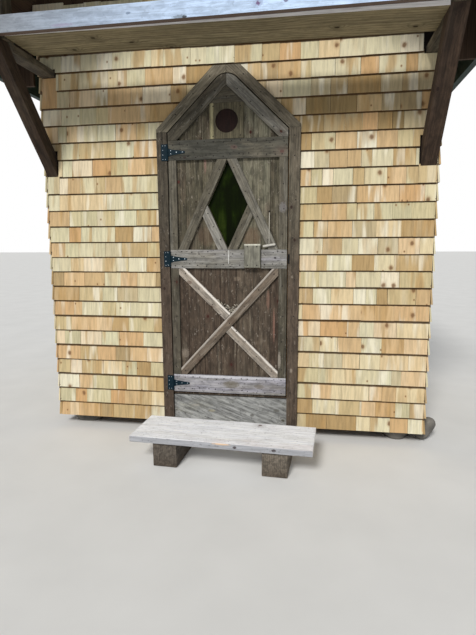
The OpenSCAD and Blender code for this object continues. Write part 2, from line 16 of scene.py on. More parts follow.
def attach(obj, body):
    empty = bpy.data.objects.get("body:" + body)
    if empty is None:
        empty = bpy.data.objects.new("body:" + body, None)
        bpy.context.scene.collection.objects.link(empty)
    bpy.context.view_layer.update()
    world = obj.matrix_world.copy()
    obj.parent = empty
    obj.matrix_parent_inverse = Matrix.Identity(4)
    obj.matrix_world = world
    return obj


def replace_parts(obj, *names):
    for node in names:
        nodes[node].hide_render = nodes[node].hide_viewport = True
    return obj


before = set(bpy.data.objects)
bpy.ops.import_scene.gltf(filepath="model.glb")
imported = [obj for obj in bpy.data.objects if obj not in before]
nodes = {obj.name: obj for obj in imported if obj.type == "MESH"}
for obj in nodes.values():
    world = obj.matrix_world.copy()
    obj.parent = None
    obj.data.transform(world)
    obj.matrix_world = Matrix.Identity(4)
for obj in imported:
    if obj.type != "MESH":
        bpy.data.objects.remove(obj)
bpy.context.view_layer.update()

WALL, DOOR = "house", "door"
X, Y, Z = (1, 0, 0), (0, 1, 0), (0, 0, 1)
MID_Y = 608             # middle of the roof along Y
DOOR_X = -10.5          # middle of the doorway
HALF_W = 1198           # half the width over the wall boards
BODY_D = 1786           # depth over the wall boards
WALL_TOP = 2700         # where the shingles under the gable end
BATTEN_FACE = -38       # front face of the door's battens and of the casing
LATCH_FACE = -61        # front face of the latch block
HINGE_FACE = -40.5      # front face of the hinge plates
PEAK_SLOPE = 0.966      # rise over run of the doorway's point


def at(x, y, z):
    return Vector((x / 1000, (y - MID_Y) / 1000, z / 1000))


def link(name, data):
    o = bpy.data.objects.new(name, data)
    bpy.context.scene.collection.objects.link(o)
    return o


# Camera, as fitted to the photo

CAM_PLACE = (0.539, -3.6045, 1.2623)
CAM_TURN = (9.3298, 8.943, 0.3041)      # yaw to the left, pitch down and roll, in degrees
FOCAL = 477.45                          # focal length in pixels
PHOTO_H = 635
SENSOR = 36


def make_camera():
    yaw, pitch, roll = (math.radians(a) for a in CAM_TURN)
    data = bpy.data.cameras.new("camera")
    data.sensor_fit = "AUTO"
    data.sensor_width = SENSOR
    data.lens = FOCAL / PHOTO_H * SENSOR
    cam = link("camera", data)
    cam.matrix_world = (Matrix.Translation(CAM_PLACE) @ Matrix.Rotation(yaw, 4, "Z")
                        @ Matrix.Rotation(math.pi / 2 - pitch, 4, "X")
                        @ Matrix.Rotation(-roll, 4, "Z"))
    bpy.context.scene.camera = cam


make_camera()


# Node helpers

def lin(colour, light=1):
    """A colour as linear RGBA."""
    parts = [light * (colour >> shift & 255) / 255 for shift in (16, 8, 0)]
    return tuple(v / 12.92 if v <= 0.04 else ((v + 0.055) / 1.055) ** 2.4 for v in parts) + (1,)


def evenly(colours):
    return [(i / (len(colours) - 1), lin(c)) for i, c in enumerate(colours)]


class Nodes:
    """Short calls for the nodes of a new material, or of the world."""

    def __init__(self, owner, out="OutputMaterial"):
        self.owner = owner
        owner.use_nodes = True
        self.tree = owner.node_tree
        self.tree.nodes.clear()
        self.out = self.add(out)

    def add(self, kind, inputs=None, **props):
        n = self.tree.nodes.new("ShaderNode" + kind)
        for k, v in props.items():
            setattr(n, k, v)
        for k, v in (inputs or {}).items():
            self.put(n.inputs[k], v)
        return n

    def put(self, socket, v):
        if isinstance(v, bpy.types.NodeSocket):
            self.tree.links.new(v, socket)
        else:
            socket.default_value = v

    def math(self, op, a, b=0.0, c=0.0, clamp=False):
        n = self.add("Math", {0: a, 1: b, 2: c}, operation=op, use_clamp=clamp)
        return n.outputs[0]

    def mul(self, a, b):
        return self.math("MULTIPLY", a, b)

    def muladd(self, a, b, c, clamp=False):
        """a times b, plus c."""
        return self.math("MULTIPLY_ADD", a, b, c, clamp)

    def less(self, a, b):
        """a less b."""
        return self.math("SUBTRACT", a, b)

    def noise(self, vec, scale, detail=3.0, rough=0.5, distort=0.0):
        """scale is one number, or one for each axis."""
        if isinstance(scale, tuple):
            n = self.add("VectorMath", {0: vec, 1: scale}, operation="MULTIPLY")
            vec, scale = n.outputs[0], 1
        n = self.add("TexNoise", {"Vector": vec, "Scale": scale, "Detail": detail,
                                  "Roughness": rough, "Distortion": distort})
        return n.outputs[0]

    def step(self, v, low, high):
        """0 below low, 1 above high, smooth between. It falls where low is the larger."""
        n = self.add("MapRange", {"Value": v, "From Min": low, "From Max": high},
                     interpolation_type="SMOOTHSTEP")
        return n.outputs[0]

    def ramp(self, fac, stops):
        n = self.add("ValToRGB", {"Fac": fac})
        elements = n.color_ramp.elements
        while len(elements) < len(stops):
            elements.new(0.5)
        for e, (p, c) in zip(elements, stops):
            e.position = p
            e.color = c
        return n.outputs[0]

    def mix(self, fac, a, b, blend="MIX"):
        n = self.add("Mix", data_type="RGBA", blend_type=blend)
        for i, v in ((0, fac), (6, a), (7, b)):
            self.put(n.inputs[i], v)
        return n.outputs[2]

    def tint(self, colour, other, where, amount):
        """The colour with another laid over it."""
        return self.mix(self.mul(where, amount), colour, lin(other))

    def shade(self, colour, light):
        return self.mix(1.0, colour, self.join(light, light, light), "MULTIPLY")

    def coords(self, kind="Object"):
        return self.add("TexCoord").outputs[kind]

    def attr(self, name):
        return self.add("Attribute", attribute_name=name).outputs["Vector"]

    def split(self, vec):
        return self.add("SeparateXYZ", {0: vec}).outputs

    def join(self, x, y, z):
        return self.add("CombineXYZ", {0: x, 1: y, 2: z}).outputs[0]

    def against(self, axis):
        """1 on faces that look against an axis (0, 1 or 2), else 0."""
        return self.step(self.mul(self.split(self.coords("Normal"))[axis], -1), 0.6, 0.9)

    def cells(self, u, v, share, spread):
        """Distance from the nearest of scattered points, and 1 round a share of them."""
        n = self.add("TexVoronoi", {"Vector": self.join(u, v, 0.0), "Scale": 1.0,
                                    "Randomness": spread}, voronoi_dimensions="2D")
        picked = self.math("LESS_THAN", self.split(n.outputs["Color"])[0], share)
        return n.outputs["Distance"], picked

    def mark(self, colour, place, ahead, spot):
        """An oval patch on the front: (x, z, half width, half height in mm, colour, how much)."""
        x, z, rx, rz, tint, amount = spot
        dx = self.muladd(place[0], 1000 / rx, -x / rx)
        dz = self.muladd(place[2], 1000 / rz, -z / rz)
        far = self.muladd(dx, dx, self.mul(dz, dz))
        rag = self.noise(self.join(place[0], 0.0, place[2]), (100, 0, 190), 3, 0.6)
        far = self.muladd(rag, 2.4, self.less(far, 1.2))
        return self.tint(colour, tint, self.mul(self.step(far, 1.1, 0.3), ahead), amount)

    def finish(self, colour, rough, height=None, bump=0.4, reach=0.002, **sockets):
        b = self.add("BsdfPrincipled", {"Base Color": colour, "Roughness": rough})
        for k, v in sockets.items():
            b.inputs[k.replace("_", " ")].default_value = v
        if height is not None:
            n = self.add("Bump", {"Strength": bump, "Distance": reach, "Height": height})
            self.put(b.inputs["Normal"], n.outputs[0])
        self.put(self.out.inputs[0], b.outputs[0])
        return self.owner


def material(name):
    return Nodes(bpy.data.materials.new(name))


# Materials

FULL_TURN = 6.283       # radians, for the year rings
GRAIN_DEPTH = 0.0012    # depth in metres that a grain's bump stands for
KNOT_CELL = 0.145       # metres of wood for one unit of knot distance
DULL = 0.25             # specular level of bare wood
NICK, CRACK, SPECK = 0xb6aca0, 0x1c1713, 0x201c1a


def wood(name, colours, within=0.4, streak=0.3, fine=0.25, ring=0.18, pitch=0.014, knots=0.0,
         knot_r=0.011, knot=0x3c2a1c, crack=0.0, specks=0.0, bump=0.7, rough=0.82,
         stain=None, base=None, left_end=None, under=None, front=None, front_to=None,
         mottle=0.0, pale=None, nicks=0.0, painted_highlight=None, marks=()):
    """Wood along the grain attribute, toned piece by piece by the tone attribute.

    within is how much of the palette one board spans. stain and pale are (colour, how much).
    base and left_end are (full at, none at, how much, colour) by height and by X, in metres.
    """
    m = material(name)
    place = m.split(m.coords())
    g = m.attr("grain")
    tone = m.split(m.attr("tone"))
    u, v = m.split(g)[:2]
    # broad bands across the board, fine fibres along it
    band = m.noise(g, (1.3, 22, 22), 3, 0.55, 0.3)
    fibre = m.noise(g, (7, 330, 330), 4, 0.6)
    # knots, and the grain that bends round them
    far, picked = m.cells(m.mul(u, 5.5), m.mul(v, 7.5), knots, 0.95)
    far = m.mul(far, KNOT_CELL)
    near = m.mul(picked, m.step(far, knot_r * 4, 0))
    wander = m.noise(g, (1.6, 5, 5), 2)
    phase = m.math("ADD", m.mul(v, FULL_TURN / pitch), m.muladd(wander, 26, m.mul(near, 15)))
    rings = m.math("POWER", m.muladd(m.math("SINE", phase), 0.5, 0.5), 2.5)
    # the board's tone, darkened along its grain
    pick = m.muladd(m.less(band, 0.5), within * 2.4,
                    m.muladd(tone[0], 1 - within * 0.5, within * 0.25), clamp=True)
    dark = m.mul(m.step(band, 0.35, 0.7), streak)
    dark = m.muladd(m.step(fibre, 0.4, 0.68), fine, dark)
    dark = m.muladd(rings, ring, dark)
    colour = m.shade(m.ramp(pick, evenly(colours)), m.less(1.08, dark))
    # what lies over it
    if stain:
        patch = m.step(m.noise(g, (2.2, 6, 6), 4, 0.6, 0.6), 0.5, 0.72)
        colour = m.tint(colour, stain[0], patch, stain[1])
    for end, axis in ((base, 2), (left_end, 0)):
        if end:
            full, none, amount, tint = end
            colour = m.tint(colour, tint, m.step(place[axis], none, full), amount)
    if pale:
        run = m.step(m.noise(g, (2.6, 42, 42), 3, 0.6, 0.2), 0.53, 0.7)
        colour = m.tint(colour, pale[0], run, pale[1])
    if mottle:
        runs = m.noise(g, (4.5, 68, 68), 4, 0.65)
        spots = m.noise(g, (14, 32, 32), 4, 0.65, 0.6)
        k = m.step(m.muladd(runs, 0.5, m.mul(spots, 0.5)), 0.39, 0.61)
        colour = m.shade(colour, m.muladd(k, 2 * mottle, 1 - mottle))
    if nicks:
        nick = m.step(m.noise(g, (30, 74, 74), 3, 0.7, 1.0), 0.62, 0.67)
        colour = m.tint(colour, NICK, nick, nicks)
    # its underside, its front (a painted light on the olive planks), and a painted highlight on its
    # upper edge
    if under:
        colour = m.mix(m.against(2), colour, lin(under))
    ahead = m.against(1)
    if front_to:
        ahead = m.mul(ahead, m.math("LESS_THAN", place[1], front_to))
    # the front faces in a colour of their own; on the olive planks this is painted light
    if front:
        grey = m.ramp(fibre, [(0.3, lin(front)), (0.8, lin(front, 0.7))])
        colour = m.mix(ahead, colour, grey)
    # upward faces and the upper edge made paler: a painted highlight
    if painted_highlight:
        tint, start, amount = painted_highlight
        edge = m.muladd(m.noise(g, (9, 60, 60)), 0.24, tone[2])
        up = m.math("MAXIMUM", m.step(m.split(m.coords("Normal"))[2], 0.25, 0.5),
                    m.step(edge, start + 0.1, start + 0.22))
        up = m.mul(up, m.muladd(tone[0], 0.8, 0.3, clamp=True))
        colour = m.tint(colour, tint, up, amount)
    # knots, cracks, specks and single marks
    core = m.mul(picked, m.step(far, knot_r, knot_r * 0.55))
    colour = m.mix(m.math("MAXIMUM", core, m.mul(near, 0.35)), colour, lin(knot))
    height = m.muladd(fibre, -0.6, m.mul(rings, -0.5))
    if crack:
        split = m.step(m.noise(g, (3.2, 260, 260), 2), 0.69, 0.74)
        colour = m.tint(colour, CRACK, split, crack)
        height = m.muladd(split, -1.6, height)
    if specks:
        dots = m.step(m.noise(g, (62, 84, 84), 2, 0.6), 0.63, 0.68)
        colour = m.tint(colour, SPECK, dots, specks)
    for spot in marks:
        colour = m.mark(colour, place, ahead, spot)
    return m.finish(colour, rough, height, bump, GRAIN_DEPTH, Specular_IOR_Level=DULL)


def shingle_material():
    """New cedar: each shingle has its own tone, soft upright streaks and a few knots.

    The tone attribute holds the tone, a second random number, and the height over the butt,
    0 at the shingle's own butt and 1 where the next course's butt lies on it.
    """
    m = material("cedar_shingle")
    g = m.attr("grain")
    tone = m.split(m.attr("tone"))
    u, v = m.split(g)[:2]
    colour = m.ramp(tone[0], evenly([
        0x8c7852, 0xb89b6e, 0xc8ba92, 0xd0cbac, 0xd8c6a0,
        0xc6a072, 0xc4b891, 0xe4dec8, 0xd2b388, 0xa6906a,
        0xd5cdae, 0xbeb592]))
    wide = m.noise(g, (1.5, 17, 17), 2, 0.5, 0.2)
    thin = m.noise(g, (1.8, 66, 66), 3, 0.55)
    fibre = m.noise(g, (8, 420, 420), 3, 0.6)
    heart = m.mul(m.step(wide, 0.48, 0.62), m.step(tone[1], 0.45, 0.8))
    colour = m.tint(colour, 0xb2905e, heart, 0.7)
    sap = m.mul(m.step(wide, 0.5, 0.34), m.step(tone[1], 0.7, 0.3))
    colour = m.tint(colour, 0xe8e2ce, sap, 0.65)
    dark = m.mul(m.step(thin, 0.36, 0.72), 0.25)
    dark = m.muladd(m.step(fibre, 0.5, 0.75), 0.12, dark)
    colour = m.shade(colour, m.less(1.085, dark))
    # large and small knots with a soft brown halo: how many, how often, size
    for freq, share, size in ((5.0, 0.52, 0.13), (13.0, 0.1, 0.13)):
        far, chosen = m.cells(m.mul(u, freq * 0.8), m.mul(v, freq), share, 0.9)
        r = m.muladd(m.noise(g, (60, 60, 60), 2), 0.05, m.less(far, 0.025))
        for inner, outer, tint in ((0.0, size, 0xa47c50),
                                   (size * 0.2, size * 0.6, 0x64462e)):
            spot = m.mul(chosen, m.step(r, outer, inner))
            colour = m.tint(colour, tint, spot, 0.7)
    # painted shade just under the next butt, wider low down, and a dark end grain on the shingle's
    # own butt
    high = m.split(m.coords())[2]
    ragged = m.muladd(m.step(high, 0.7, 1.5), 0.05, 0.83)
    ragged = m.muladd(m.noise(g, (3, 40, 40), 2), 0.05, ragged)
    # the painted shade, in dark brown
    colour = m.tint(colour, 0x48321c, m.step(m.less(tone[2], ragged), 0.0, 0.04), 0.9)
    colour = m.mix(m.against(2), colour, lin(0x563c22))
    height = m.muladd(fibre, -0.6, m.mul(thin, -0.5))
    return m.finish(colour, 0.8, height, 0.35, GRAIN_DEPTH, Specular_IOR_Level=DULL)


def metal(name, colour, worn, rough, scale, wear=0.35, bump=0.15, shine=0.5, metallic=0.0):
    """Painted or bare metal with scuffs, dust and uneven gloss."""
    m = material(name)
    p = m.coords()
    a = m.noise(p, scale, 4, 0.6)
    b = m.noise(p, scale * 0.12, 4, 0.6, 0.4)
    col = m.mix(m.mul(m.step(a, 0.55, 0.75), wear), lin(colour), lin(worn))
    col = m.shade(col, m.muladd(b, 0.5, 0.75))
    r = m.muladd(a, 0.3, rough - 0.15, clamp=True)
    return m.finish(col, r, a, bump, 0.0006, Metallic=metallic, Specular_IOR_Level=shine)


def stone_material():
    m = material("field_stone")
    p = m.coords()
    big = m.noise(p, 9, 5, 0.6, 0.3)
    fine = m.noise(p, 140, 4, 0.7)
    col = m.ramp(big, [(0.3, lin(0x504e4a)), (0.5, lin(0x686560)),
                       (0.7, lin(0x807c75))])
    col = m.tint(col, 0x3e3c38, m.step(fine, 0.58, 0.7), 0.5)
    moss = m.step(m.noise(p, 17, 3, 0.6), 0.6, 0.75)
    col = m.tint(col, 0x4e5434, moss, 0.5)
    return m.finish(col, 0.9, m.muladd(fine, 0.4, big), 0.8, 0.006)


def glass_material():
    """The pane: near black green with a painted reflection of the forest's upright trunks in it."""
    m = material("dark_pane")
    p = m.coords()
    reflected_trunks = m.noise(p, (14, 14, 2.2), 3, 0.6, 0.5)
    leaves = m.noise(p, (9, 9, 7), 4, 0.6)
    k = m.mul(m.step(reflected_trunks, 0.34, 0.66), m.step(leaves, 0.3, 0.62))
    col = m.ramp(k, [(0.0, lin(0x0a1002)), (0.45, lin(0x141f03)), (1.0, lin(0x28340e))])
    return m.finish(col, 0.2, Specular_IOR_Level=0.04)


def string_material():
    m = material("cotton_string")
    place = m.split(m.coords())
    lay = m.math("SINE", m.muladd(place[2], 2600, m.mul(place[0], 1500)))
    col = m.ramp(m.muladd(lay, 0.5, 0.5), evenly([0xb2ac9e, 0xe4e0d6]))
    return m.finish(col, 0.9, lay, 0.5, 0.0004)


SHINGLE = shingle_material()
DOOR_BOARD = wood(
    "door_boards_old", [0x423c31, 0x524c3e, 0x605b4b, 0x706c5c, 0x7e7c6a], fine=0.3, ring=0.15,
    knots=0.14, knot=0x3c1e18, crack=0.5, stain=(0x705c50, 0.3), base=(1.1, 1.2, 0.8, 0x473a31),
    mottle=0.42, pale=(0x928a7a, 0.3), nicks=0.35,
    marks=[(-326, 1637, 13, 13, 0x542620, 0.85), (-212, 1513, 8, 8, 0x2e241e, 0.8),
           (-150, 1760, 9, 90, 0x967068, 0.45), (280, 740, 8, 120, 0x987062, 0.5),
           (242, 903, 12, 70, 0x8a6658, 0.4), (45, 1035, 26, 16, 0x968674, 0.35),
           # (248, 1447) is painted shade in the string's hole; the last two are unweathered brown
           # and painted shade below the diamond's lower battens
           (-300, 545, 30, 34, 0x9e9284, 0.35), (248, 1447, 9, 8, 0x181410, 0.95),
           (136, 1290, 62, 74, 0x685240, 0.6), (-150, 1300, 60, 70, 0x625040, 0.5)])
FRAME_WOOD = wood(
    "door_frame_old", [0x423e35, 0x544f43, 0x645f53, 0x7c7970, 0xa09e98], within=0.35, streak=0.22,
    fine=0.28, ring=0.12, knots=0.14, knot=0x3e2820, crack=0.45, stain=(0x6c6458, 0.3), mottle=0.34,
    pale=(0x96948c, 0.25), nicks=0.25,
    marks=[(316, 520, 12, 60, 0xb0a69a, 0.5), (331, 1470, 26, 34, 0x807e7e, 0.6)])
CASING_WOOD = wood(
    "casing_old", [0x4a443a, 0x5a5246, 0x625b4e, 0x7c7565], streak=0.25, fine=0.28, knots=0.12,
    knot=0x30241e, crack=0.4, stain=(0x5c5248, 0.3), base=(0.9, 1.5, 0.68, 0x4a3c33), mottle=0.38,
    nicks=0.25,
    marks=[(392, 455, 10, 16, 0xa89c8e, 0.5), (391, 1050, 8, 10, 0x968c7e, 0.5)])
RAIL_WOOD = wood(
    "rails_old", [0x403f38, 0x5c5b54, 0x92908c, 0xaaa8b2], within=0.45, streak=0.2, fine=0.26,
    ring=0.12, knots=0.18, knot_r=0.014, knot=0x5c4640, crack=0.45, specks=0.7,
    stain=(0x787060, 0.45), mottle=0.3,
    marks=[(-10, 400, 420, 17, 0xd8d8de, 0.65), (34, 1830, 24, 15, 0x62504a, 0.7),
           (36, 1830, 9, 7, 0x382a28, 0.85), (-275, 1779, 11, 8, 0x302622, 0.85),
           (286, 1166, 9, 8, 0x383438, 0.9), (5, 348, 62, 28, 0x6c6554, 0.7),
           (190, 340, 36, 18, 0x746c62, 0.6), (120, 372, 70, 8, 0xc4c2cc, 0.5),
           (-180, 330, 60, 8, 0xb0aeba, 0.4)])
# the pale upper edges of the crossed battens are a painted highlight
CROSS_WOOD = wood(
    "cross_old", [0x64584c, 0x786c5f, 0x968c80, 0xb2aaa0], within=0.35, streak=0.2, fine=0.22,
    ring=0.1, knots=0.2, knot=0x4e382c, crack=0.3, specks=0.4, bump=0.6, stain=(0x685a4e, 0.4),
    mottle=0.32, pale=(0xccc4b8, 0.3), painted_highlight=(0xece6de, 0.76, 0.85),
    marks=[(-262, 1010, 22, 14, 0x5c4638, 0.6), (12, 770, 34, 26, 0x4e3e32, 0.5)])
BLOCK_WOOD = wood(
    "block_old", [0x544e3e, 0x625c4a, 0x706a56, 0xb0a884], crack=0.3, bump=0.6,
    stain=(0x504a3c, 0.4), mottle=0.34)
LATCH_WOOD = wood(
    "latch_block_old", [0x7a786c, 0x88867a, 0x96948a], within=0.5, crack=0.3, bump=0.6,
    base=(1.247, 1.238, 0.8, 0xd4d2c4), mottle=0.3)
KICK_WOOD = wood(
    "kick_old", [0x8c8d8a, 0xa6a7a6, 0x94978e], fine=0.28, ring=0.2, pitch=0.03, knots=0.16,
    knot_r=0.012, knot=0x56544a, crack=0.5, specks=0.6, stain=(0x8c8a78, 0.5), mottle=0.38,
    pale=(0xd0d0d0, 0.35),
    marks=[(140, 138, 16, 12, 0x4e4c46, 0.7), (300, 178, 22, 12, 0x5c5a52, 0.6),
           (-129, 156, 26, 10, 0xb2aa8c, 0.5), (-238, 190, 30, 8, 0xb0aaa0, 0.5)])
DARK_WOOD = wood(
    "dark_timber", [0x32271e, 0x46372c, 0x44362c, 0x504135], knots=0.15, knot=0x281c18, crack=0.5,
    stain=(0x564c40, 0.3), mottle=0.36)
ARM_WOOD = wood(
    "grey_timber", [0x4c4539, 0x5e5648, 0x544d41, 0x665e50], knots=0.15, knot=0x2c221c, crack=0.5,
    stain=(0x3e342c, 0.4), mottle=0.36)
# front near white: the planks' pale grey front edges, lightened as painted light where they lie in
# shade under the board
OLIVE_WOOD = wood(
    "olive_planks", [0x80755b, 0x8c8165, 0x7a7055], within=0.5, streak=0.25, fine=0.18, ring=0.3,
    pitch=0.026, knots=0.3, knot_r=0.014, knot=0x2e2618, crack=0.2, bump=0.5, front=0xfffcfa,
    front_to=-1.05, mottle=0.2)
# blue-white: silver-grey wood with the skylight on its front painted in as colour
BLUE_WOOD = wood(
    "silver_board", [0xbed4f4, 0xcce2ff, 0xb8ceee], within=0.5, streak=0.16, fine=0.16, ring=0.08,
    knots=0.1, knot_r=0.009, knot=0x604e70, crack=0.15, specks=0.15, bump=0.4, under=0x66574f,
    mottle=0.18, left_end=(-1.4, 0.3, 1.0, 0x80848a),
    marks=[(-146, 2353, 42, 10, 0x6c7680, 0.7), (-122, 2351, 15, 8, 0x3a3c40, 0.9),
           (240, 2385, 30, 20, 0x96a4c4, 0.6), (240, 2385, 12, 12, 0x70547a, 0.9),
           (372, 2388, 12, 10, 0x605878, 0.8), (-410, 2390, 14, 7, 0x708098, 0.8),
           (-765, 2361, 70, 9, 0x968ea8, 0.6)])
STEP_WOOD = wood(
    "step_old", [0xf4f7ff, 0xfcfeff, 0xf8faff, 0xfeffff], within=0.5, streak=0.1, fine=0.2,
    ring=0.08, pitch=0.022, knots=0.08, knot_r=0.012, knot=0x6c584e, crack=0.45, specks=0.35,
    bump=0.6, stain=(0xd0c0bc, 0.35), front=0xb6b8be, mottle=0.1,
    marks=[(119, 161, 12, 9, 0x42383a, 0.9), (333, 163, 14, 9, 0x42383a, 0.9),
           (44, 174, 54, 7, 0xe2c09c, 0.85)])
TIMBER_WOOD = wood(
    "step_timber_old", [0x5c554d, 0x6e665c, 0x80776b], streak=0.25, fine=0.28, ring=0.2,
    pitch=0.011, knots=0.2, crack=0.6, bump=0.9, stain=(0x4c423a, 0.6),
    base=(0.0, 0.09, 0.5, 0x3e342a), mottle=0.34, nicks=0.08)
FRAMING = wood(
    "framing_new", [0xc6a270, 0xd2b07e, 0xbe9868], streak=0.16, fine=0.14, ring=0.2, knots=0.25,
    knot=0x70482a, bump=0.4)
FLOOR_WOOD = wood(
    "floor_boards_worn", [0x9c8464, 0xac9270, 0x927a5c], streak=0.2, fine=0.2, ring=0.22,
    knots=0.25, knot=0x5c402a, bump=0.5, stain=(0x6e5e4c, 0.5))
ROOF_WOOD = wood(
    "roof_boards", [0x46362a, 0x544234, 0x3e3026], streak=0.25, fine=0.2, ring=0.2, knots=0.2,
    knot=0x281c16, crack=0.2, bump=0.5)
GREEN_WOOD = wood(
    "green_painted_board", [0x243632, 0x2a3e3a, 0x20302e], streak=0.15, fine=0.14, ring=0.08,
    crack=0.15, bump=0.4, rough=0.6)
TOGGLE_WOOD = wood(
    "toggle_stick", [0xc4c0b6, 0xdad8d0], within=0.6, fine=0.3, ring=0.1, crack=0.5, bump=0.6)
DISC_WOOD = wood(
    "vent_disc_red", [0x180c09, 0x24120e], within=0.6, ring=0.1, bump=0.4, rough=0.85, mottle=0.3)
CRUMB = wood(
    "wood_crumbs", [0x281e18, 0x3a2c22, 0xbeb6a6, 0xe0dacc, 0x786856], within=0.2, streak=0.2,
    fine=0.2, ring=0.1, bump=0.3)
DRIP = metal("pale_drip", 0xc6c6c2, 0x96948e, 0.8, 120, 0.5)
NAIL = metal("nail_heads", 0x1a1718, 0x463026, 0.6, 200, shine=0.15)
SCREW = metal("screw_heads", 0x96a0a8, 0x60686e, 0.4, 200, metallic=0.6)
HINGE = metal("japanned_steel", 0x0a202a, 0x243840, 0.5, 90, 0.25, shine=0.12)
STRIKE = metal("latch_steel", 0x0c0c0e, 0x322a26, 0.5, 90, 0.25, shine=0.12)
ROOFING = metal("green_roofing", 0x1e3832, 0x3e524a, 0.5, 14, 0.25, 0.05, 0.22)
# near black felt: partly building paper, partly painted shade in the shingles' gaps and over the
# right arm
FELT_AND_SHADE = metal("felt_paper_and_shade", 0x1e1a18, 0x342c26, 0.95, 40, 0.5, 0.3, 0.1)
STONE = stone_material()
GLASS = glass_material()
STRING = string_material()


# Mesh helpers

def new_object(name, mesh, mat, body):
    o = link(name, mesh)
    mesh.materials.append(mat)
    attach(o, body)
    return o


def put_vectors(mesh, name, values):
    a = mesh.attributes.new(name, "FLOAT_VECTOR", "POINT")
    a.data.foreach_set("vector", [c for v in values for c in v])


def loose(mesh):
    bm = bmesh.new()
    bm.from_mesh(mesh)
    return bm


def settle(name, bm):
    """A mesh from bm, which is freed."""
    mesh = bpy.data.meshes.new(name)
    bm.to_mesh(mesh)
    bm.free()
    return mesh


def build(name, verts, faces, grain, tone, mat, body):
    """A new piece from its points and faces."""
    mesh = bpy.data.meshes.new(name)
    mesh.from_pydata(verts, [], faces)
    mesh.update()
    put_vectors(mesh, "grain", grain)
    put_vectors(mesh, "tone", tone)
    return new_object(name, mesh, mat, body)


def prism(first, n):
    """Faces of a plate between two outlines of n points, the first outline from number first."""
    back = first + n
    ends = [tuple(range(first, back)), tuple(reversed(range(back, back + n)))]
    turns = [(i, (i + 1) % n) for i in range(n)]
    return ends + [(first + j, first + i, back + i, back + j) for i, j in turns]


def random_vector(rng, low=0, high=1):
    return Vector([rng.uniform(low, high) for _ in range(3)])


def islands(bm):
    """The points of each connected piece."""
    seen = set()
    for start in bm.verts:
        if start in seen:
            continue
        group, todo = [], [start]
        seen.add(start)
        while todo:
            v = todo.pop()
            group.append(v)
            for e in v.link_edges:
                o = e.other_vert(v)
                if o not in seen:
                    seen.add(o)
                    todo.append(o)
        yield group


def unique(items):
    """Each item once, in the order of its first place, which a set doesn't keep."""
    return list(dict.fromkeys(items))


def grain_frame(group, along=None):
    """Directions along, across and through a board, from its longest edge and largest face."""
    faces = unique(f for v in group for f in v.link_faces)
    if along is None:
        e = max(unique(e for v in group for e in v.link_edges), key=lambda e: e.calc_length())
        along = e.verts[1].co - e.verts[0].co
    along = Vector(along).normalized()
    side = [f for f in faces if abs(f.normal.dot(along)) < 0.5] or faces
    through = max(side, key=lambda f: f.calc_area()).normal
    through = (through - along * through.dot(along)).normalized()
    return along, through.cross(along), through


def middle(group):
    lo = Vector(map(min, zip(*(v.co for v in group))))
    hi = Vector(map(max, zip(*(v.co for v in group))))
    return (lo + hi) / 2


def nearest(frames, group):
    m = middle(group)
    return min(frames, key=lambda f: (f[0] - m).length)[1]


def span(group, axis):
    places = [v.co.dot(axis) for v in group]
    return min(places), max(places)


def cut_apart(whole, axis, lines, gap):
    """The boards between neighbouring lines across an axis, a gap apart."""
    axis = Vector(axis)
    src = settle("src", whole)
    whole = bmesh.new()
    for a, b in zip(lines, lines[1:]):
        bm = loose(src)
        for pos, side in ((a + gap / 2, -1), (b - gap / 2, 1)):
            if not bm.faces:
                continue
            r = bmesh.ops.bisect_plane(
                bm, geom=bm.verts[:] + bm.edges[:] + bm.faces[:], dist=1e-6,
                plane_co=axis * pos / 1000, plane_no=axis,
                clear_outer=side > 0, clear_inner=side < 0)
            edges = [e for e in r["geom_cut"] if isinstance(e, bmesh.types.BMEdge)]
            if edges:
                bmesh.ops.edgenet_fill(bm, edges=edges)
        whole.from_mesh(settle("got", bm))
    return whole


def wear_down(whole, frames, wear, seed, spacing=0.05):
    """Cuts each board across at a spacing in metres, then moves its points inwards unevenly."""
    for group in list(islands(whole)):
        along = nearest(frames, group)[0]
        lo, hi = span(group, along)
        n = max(2, int((hi - lo) / spacing))
        for i in range(1, n):
            faces = unique(f for v in group if v.is_valid for f in v.link_faces)
            edges = unique(e for f in faces for e in f.edges)
            verts = unique(v for f in faces for v in f.verts)
            r = bmesh.ops.bisect_plane(
                whole, geom=verts + edges + faces, dist=1e-6,
                plane_co=along * (lo + (hi - lo) * i / n), plane_no=along)
            group += [v for v in r["geom_cut"] if isinstance(v, bmesh.types.BMVert)]
    whole.normal_update()
    for v in whole.verts:
        k = noise.noise(v.co * 9 + Vector((seed, 0, 0))) * 0.5 + 0.5
        v.co -= v.normal * (k * wear / 1000)


